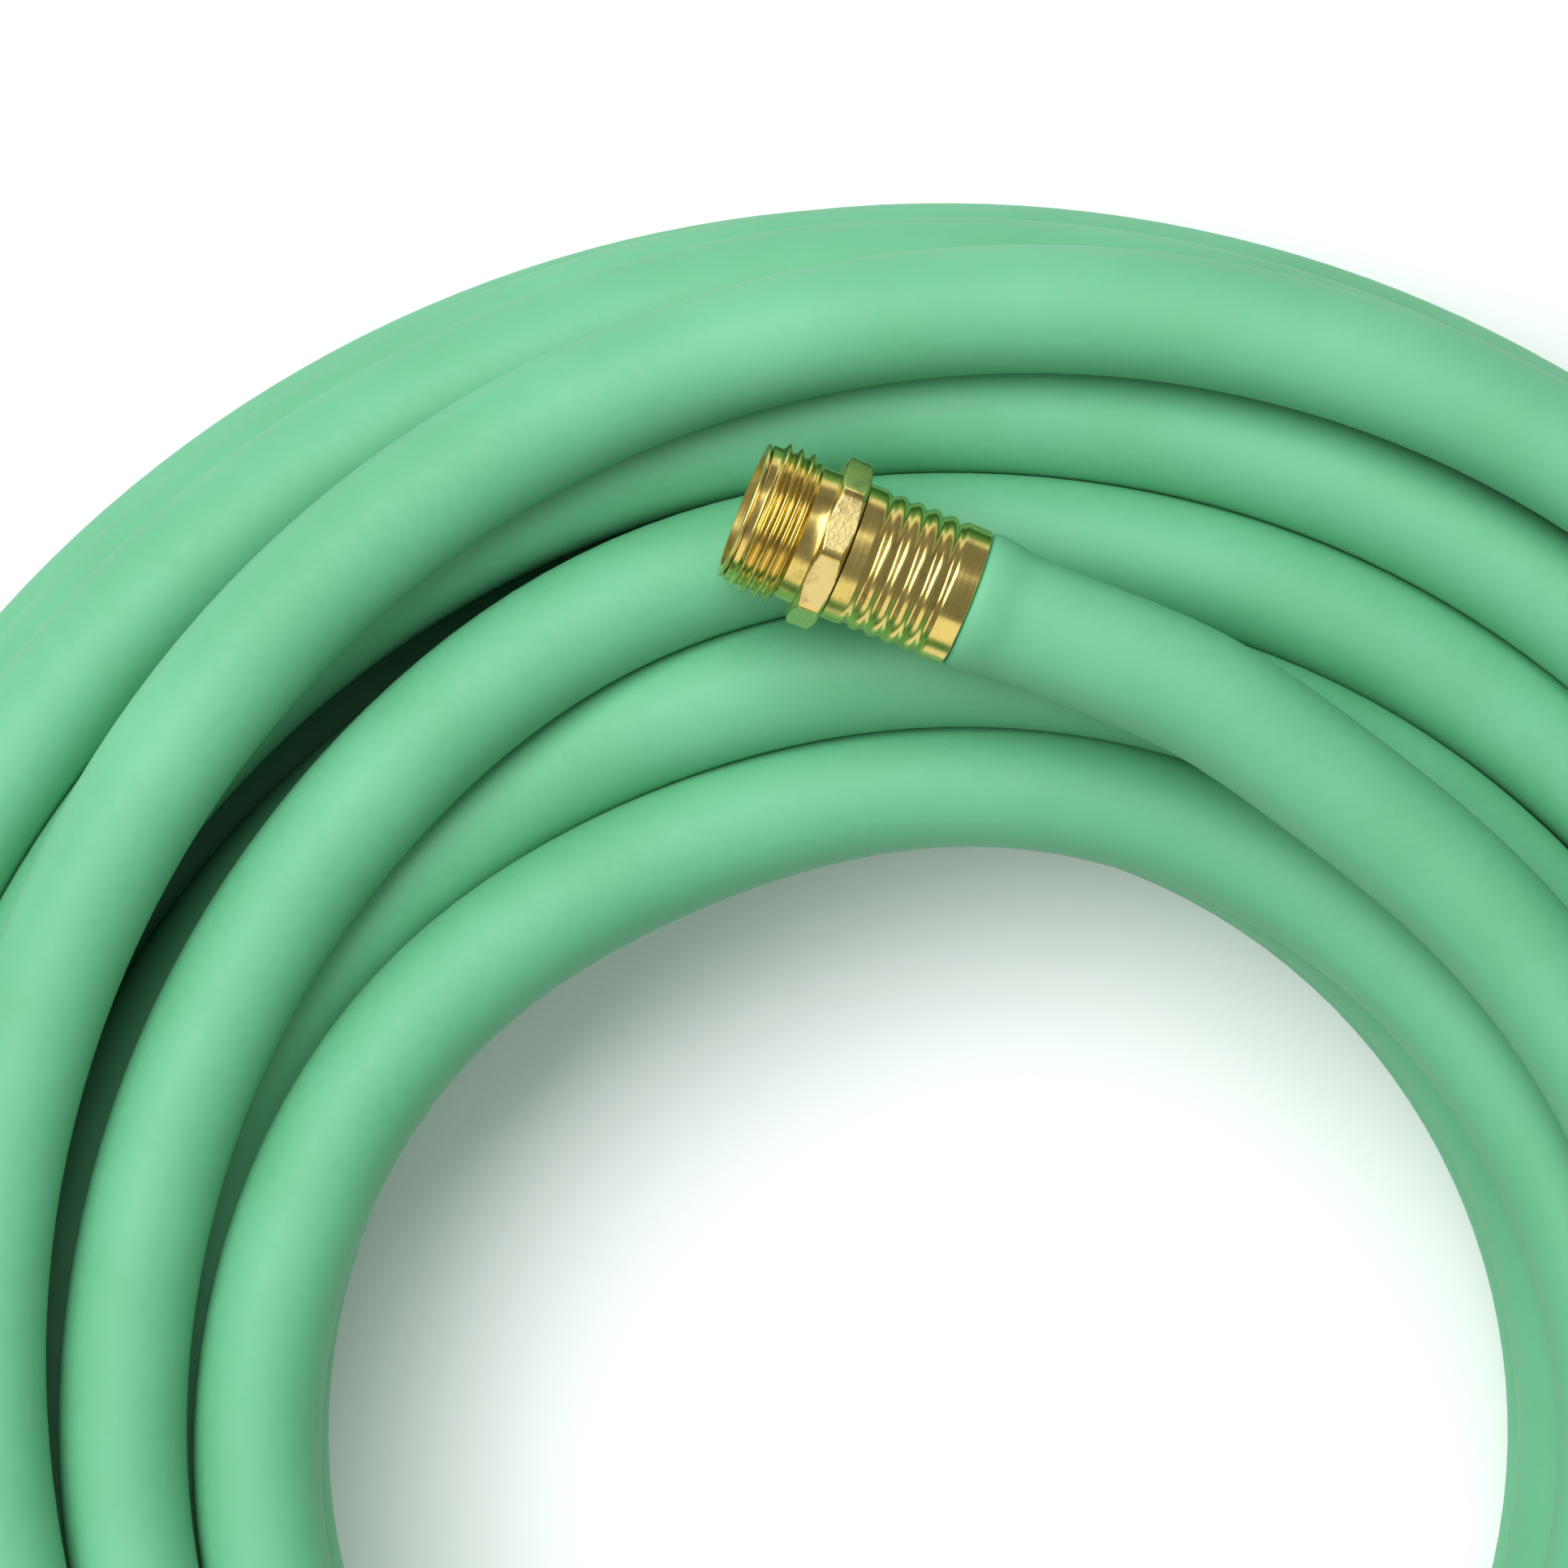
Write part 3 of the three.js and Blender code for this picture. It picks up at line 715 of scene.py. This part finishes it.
# Rings of the coupling's mouth and of its back, as (distance from the mouth, radius).
COUPLING_RIM = ((0.85, 11.3), (0.8, 11.7), (0.8, 11.95), (0.9, 12.15), (1.05, 12.3), (1.5, 12.3))
COUPLING_NECK = (
    (MALE_THREAD[1] + 0.1, 12.2),
    (MALE_THREAD[1] + 0.3, NECK_R),
    (11.5, NECK_R),
    (COLLAR_START - 0.35, NECK_R),
    (COLLAR_START - 0.1, 12.12),
    (COLLAR_START, 12.35),
    (COLLAR_START, 13.2),
)
COUPLING_BACK = ((COLLAR_END, 12.4), (COLLAR_END, 9.0), (COLLAR_END - 1, 9.0), (12.0, 11.3))


def chamfered(along, start, end, flats, sides, chamfer):
    corner = flats / 2 / math.cos(math.pi / sides)
    near = min(along - start, end - along)
    slope = (corner + CONE_OVER - flats / 2) / chamfer
    return flats / 2 - CONE_UNDER + near * slope


def roughen_flats(obj, start, end, flats, sides, roll):
    """The flats keep the grain of the drawn bar; the turned faces are smooth."""
    mesh = obj.data
    mesh.materials.append(BRASS_FLATS)
    half = math.pi / sides
    for polygon in mesh.polygons:
        x, y, z = (c / MM for c in polygon.center)
        if not start + FLAT_EDGE < y < end - FLAT_EDGE:
            continue
        angle = math.atan2(x, z)
        local = (angle - roll + half) % (2 * half) - half
        if abs(math.hypot(x, z) * math.cos(local) - flats / 2) < FLAT_NEAR:
            polygon.material_index = 1


def ring_rows(rings, angles):
    return [around(along, lambda _a, r=radius: r, angles) for along, radius in rings]


def flat_sided_rows(start, end, flats, sides, roll, chamfer, count, angles):
    rows = []
    for i in range(count + 1):
        y = start + (end - start) * (i / count)
        rows.append(around(
            y,
            lambda a, y=y: min(
                flat_radius(flats, sides, roll, a),
                chamfered(y, start, end, flats, sides, chamfer),
            ),
            angles,
        ))
    return rows


def male_coupling():
    angles = octagon_angles(COLLAR_SIDES, COLLAR_ROLL)
    rows = ring_rows(COUPLING_RIM, angles)
    thread_start, thread_end = MALE_THREAD
    along = thread_start
    while along < thread_end:
        rows.append(around(
            along,
            lambda a, y=along: THREAD_ROOT_R
            + THREAD_DEPTH * thread_height(y, a, thread_start, thread_end, MALE_THREAD_PHASE),
            angles,
        ))
        along += MALE_ROW_STEP
    rows += ring_rows(COUPLING_NECK, angles)
    rows += flat_sided_rows(
        COLLAR_START, COLLAR_END, COLLAR_FLATS, COLLAR_SIDES, COLLAR_ROLL, COLLAR_CHAMFER,
        COLLAR_ROWS, angles)
    rows += ring_rows(COUPLING_BACK, angles)
    faces = ring_faces(len(rows), len(angles), close_rows=True)
    body = placed(
        "male_coupling_brass", MALE_FRAME, rows, faces, BRASS, MACHINED_SHARP, MALE_THREAD)
    roughen_flats(body, COLLAR_START, COLLAR_END, COLLAR_FLATS, COLLAR_SIDES, COLLAR_ROLL)
    return body


SLEEVE_R = 7.26
SLEEVE_BORE_R = 6.61
MALE_BORE_R = 10.3
SHEET = 0.65


def male_insert():
    outline = rounded_outline([
        (0.0, MALE_BORE_R, 0.0),
        (0.0, 12.2, 0.35),
        (0.5, 12.2, 0.2),
        (0.5, MALE_BORE_R + SHEET, 0.0),
        (11.5, MALE_BORE_R + SHEET, 0.3),
        (17.0, SLEEVE_R, 0.3),
        (39.6, SLEEVE_R, 0.0),
        (39.6, SLEEVE_BORE_R, 0.2),
        (16.7, SLEEVE_BORE_R, 0.3),
        (11.2, MALE_BORE_R, 0.5),
        (0.6, MALE_BORE_R, 0.2),
    ])
    return turned("male_insert_brass", MALE_FRAME, outline, BRASS_SLEEVE)


FERRULE_LENGTH = 22.7
FERRULE_R = 12.35
FERRULE_LANDS = (3.1, 18.8)  # the grooves lie between the two plain lands
FERRULE_GROOVES = 5
GROOVE_DEPTH = 0.66
GROOVE_SHARPNESS = 1.5
FERRULE_ROWS = 150
FERRULE_RIM_R = 12.2


def ferrule_outline(start):
    """Ribbed brass ferrule. Its grooves are pressed in, so every edge is soft."""
    first, last = FERRULE_LANDS
    outer = []
    for i in range(FERRULE_ROWS + 1):
        s = FERRULE_LENGTH * i / FERRULE_ROWS
        wave = 0.0
        if first < s < last:
            phase = (s - first) / (last - first) * FERRULE_GROOVES
            wave = (0.5 - 0.5 * math.cos(2 * math.pi * phase)) ** GROOVE_SHARPNESS
        outer.append((start + s, FERRULE_R - GROOVE_DEPTH * wave))
    outer[0] = (start, 11.9)
    outer.insert(1, (start + 0.06, FERRULE_RIM_R))
    outer[-1] = (start + FERRULE_LENGTH, FERRULE_RIM_R)
    inner = [
        (start + FERRULE_LENGTH, 11.75),
        (start + FERRULE_LENGTH - 0.1, 11.6),
        (start + FERRULE_LENGTH - 0.6, 10.95),
        (start + 1.0, 10.8),
        (start + 1.0, 7.56),
        (start, 7.56),
    ]
    return outer + inner


NUT_FLATS = 31.0
NUT_SIDES = 8
NUT_LENGTH = 17.0
NUT_CHAMFER = 0.9
NUT_ROWS = 60
NUT_BORE_R = 13.8
NUT_LIP_R = 10.6
NUT_LIP = 2.1
NUT_THREAD = (0.7, 9.4)
NUT_ROW_STEP = 0.14
# Rings of the nut's hole and of its mouth, as (distance from the mouth, radius).
NUT_HOLE = (
    (NUT_LENGTH, 11.2),
    (NUT_LENGTH - 0.3, NUT_LIP_R),
    (NUT_LENGTH - NUT_LIP, NUT_LIP_R),
    (NUT_LENGTH - NUT_LIP, NUT_BORE_R - 0.2),
    (NUT_LENGTH - NUT_LIP - 0.3, NUT_BORE_R),
)
NUT_MOUTH = ((0.5, NUT_BORE_R), (0.1, NUT_BORE_R + 0.45), (0.0, NUT_BORE_R + 0.7))


def swivel_nut():
    angles = octagon_angles(NUT_SIDES, 0.0)
    rows = flat_sided_rows(
        0.0, NUT_LENGTH, NUT_FLATS, NUT_SIDES, 0.0, NUT_CHAMFER, NUT_ROWS, angles)
    rows += ring_rows(NUT_HOLE, angles)
    thread_start, thread_end = NUT_THREAD
    along = thread_end
    while along > thread_start:
        rows.append(around(
            along,
            lambda a, y=along: NUT_BORE_R
            - THREAD_DEPTH * thread_height(y, a, thread_start, thread_end, 0.0),
            angles,
        ))
        along -= NUT_ROW_STEP
    rows += ring_rows(NUT_MOUTH, angles)
    faces = ring_faces(len(rows), len(angles), close_rows=True)
    body = placed("swivel_nut_brass", FEMALE_FRAME, rows, faces, BRASS, MACHINED_SHARP, NUT_THREAD)
    roughen_flats(body, 0.0, NUT_LENGTH, NUT_FLATS, NUT_SIDES, 0.0)
    return body


TAIL_FLANGE = (13.1, 14.6)  # where the flange that holds the nut begins and ends
TAIL_FLANGE_R = 13.1
TAIL_STEM_R = 10.3
TAIL_STEM_END = 17.9
WASHER = (10.1, 12.8)
WASHER_R = 13.4
WASHER_HOLE_R = 8.5
WASHER_ROUNDING = 0.5


def tailpiece():
    end = FEMALE_LENGTH - 1.8
    outline = rounded_outline([
        (TAIL_FLANGE[0], SLEEVE_BORE_R + 1.0, 0.3),
        (TAIL_FLANGE[0], TAIL_FLANGE_R, 0.2),
        (TAIL_FLANGE[1], TAIL_FLANGE_R, 0.2),
        (TAIL_FLANGE[1], TAIL_STEM_R, 0.1),
        (TAIL_STEM_END, TAIL_STEM_R, 0.2),
        (TAIL_STEM_END, SLEEVE_R, 0.0),
        (end, SLEEVE_R, 0.0),
        (end, SLEEVE_BORE_R, 0.2),
        (TAIL_FLANGE[0] + 2.0, SLEEVE_BORE_R, 0.5),
    ])
    return turned("female_tailpiece_brass", FEMALE_FRAME, outline, BRASS_SLEEVE)


def washer():
    outline = rounded_outline([
        (WASHER[0], WASHER_HOLE_R, WASHER_ROUNDING),
        (WASHER[0], WASHER_R, WASHER_ROUNDING),
        (WASHER[1], WASHER_R, WASHER_ROUNDING),
        (WASHER[1], WASHER_HOLE_R, WASHER_ROUNDING),
    ])
    return turned("hose_washer_rubber", FEMALE_FRAME, outline, WASHER_BLACK)


MALE_FERRULE_START = 18.7
coupling = male_coupling()
insert = male_insert()
ferrule_male = turned("male_ferrule_brass", MALE_FRAME, ferrule_outline(MALE_FERRULE_START), BRASS)
nut = swivel_nut()
tail = tailpiece()
ferrule_female = turned(
    "female_ferrule_brass", FEMALE_FRAME, ferrule_outline(FEMALE_FERRULE_START), BRASS)
rubber = washer()

for obj in (hose, coupling, insert, ferrule_male, tail, ferrule_female):
    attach(obj, "hose")
for obj in (nut, rubber):
    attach(obj, "nut")

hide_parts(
    "hose_coil", "hose_tail_male", "hose_tail_female", "hose_end_male", "hose_end_female")
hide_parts("male_coupling")
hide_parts("male_insert")
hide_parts("male_ferrule")
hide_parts("swivel_nut")
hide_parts("female_tailpiece")
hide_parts("female_ferrule")
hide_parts("hose_washer")

# ---- floor and light ---------------------------------------------------------------------------

FLOOR_SIZE = 12.0


def make_floor():
    material, nodes, links, shader, where = new_material("floor")
    tone = noise(nodes, links, where, 3.0, 2.0)
    color = ramp(nodes, links, tone, ((0.3, (0.90, 0.90, 0.90)), (0.7, (0.93, 0.93, 0.93))))
    links.new(color, shader.inputs["Base Color"])
    shader.inputs["Roughness"].default_value = 0.85
    half = FLOOR_SIZE / 2
    corners = ((-half, -half, 0), (half, -half, 0), (half, half, 0), (-half, half, 0))
    return mesh_object("floor", corners, ((0, 1, 2, 3),), material)


floor = make_floor()


def area_light(name, place, size, power, color=(1.0, 1.0, 1.0)):
    data = bpy.data.lights.new(name, "AREA")
    data.shape = "RECTANGLE"
    data.size = size[0]
    data.size_y = size[1]
    data.energy = power
    data.color = color
    light = bpy.data.objects.new(name, data)
    bpy.context.scene.collection.objects.link(light)
    light.location = place
    aim = (COIL_MIDDLE + Vector((0.0, 0.08, 0.05))) - Vector(place)
    light.rotation_mode = "QUATERNION"
    light.rotation_quaternion = aim.to_track_quat("-Z", "Y")
    return light


area_light("main", (-0.75, 0.85, 2.2), (3.0, 1.6), 76.0)
front = area_light("front", (-0.75, -1.75, 0.75), (2.0, 2.0), 11.5, (1.0, 0.96, 0.88))
front.visible_diffuse = False
fill = area_light("fill", (0.2, -0.4, 2.4), (3.0, 3.0), 17.0)
fill.visible_glossy = False

world = bpy.data.worlds.new("world")
bpy.context.scene.world = world
world.use_nodes = True
background = world.node_tree.nodes["Background"]
background.inputs["Color"].default_value = (0.95, 0.98, 1.0, 1.0)
background.inputs["Strength"].default_value = 0.25

scene = bpy.context.scene
scene.view_settings.view_transform = "Standard"
scene.view_settings.look = "None"
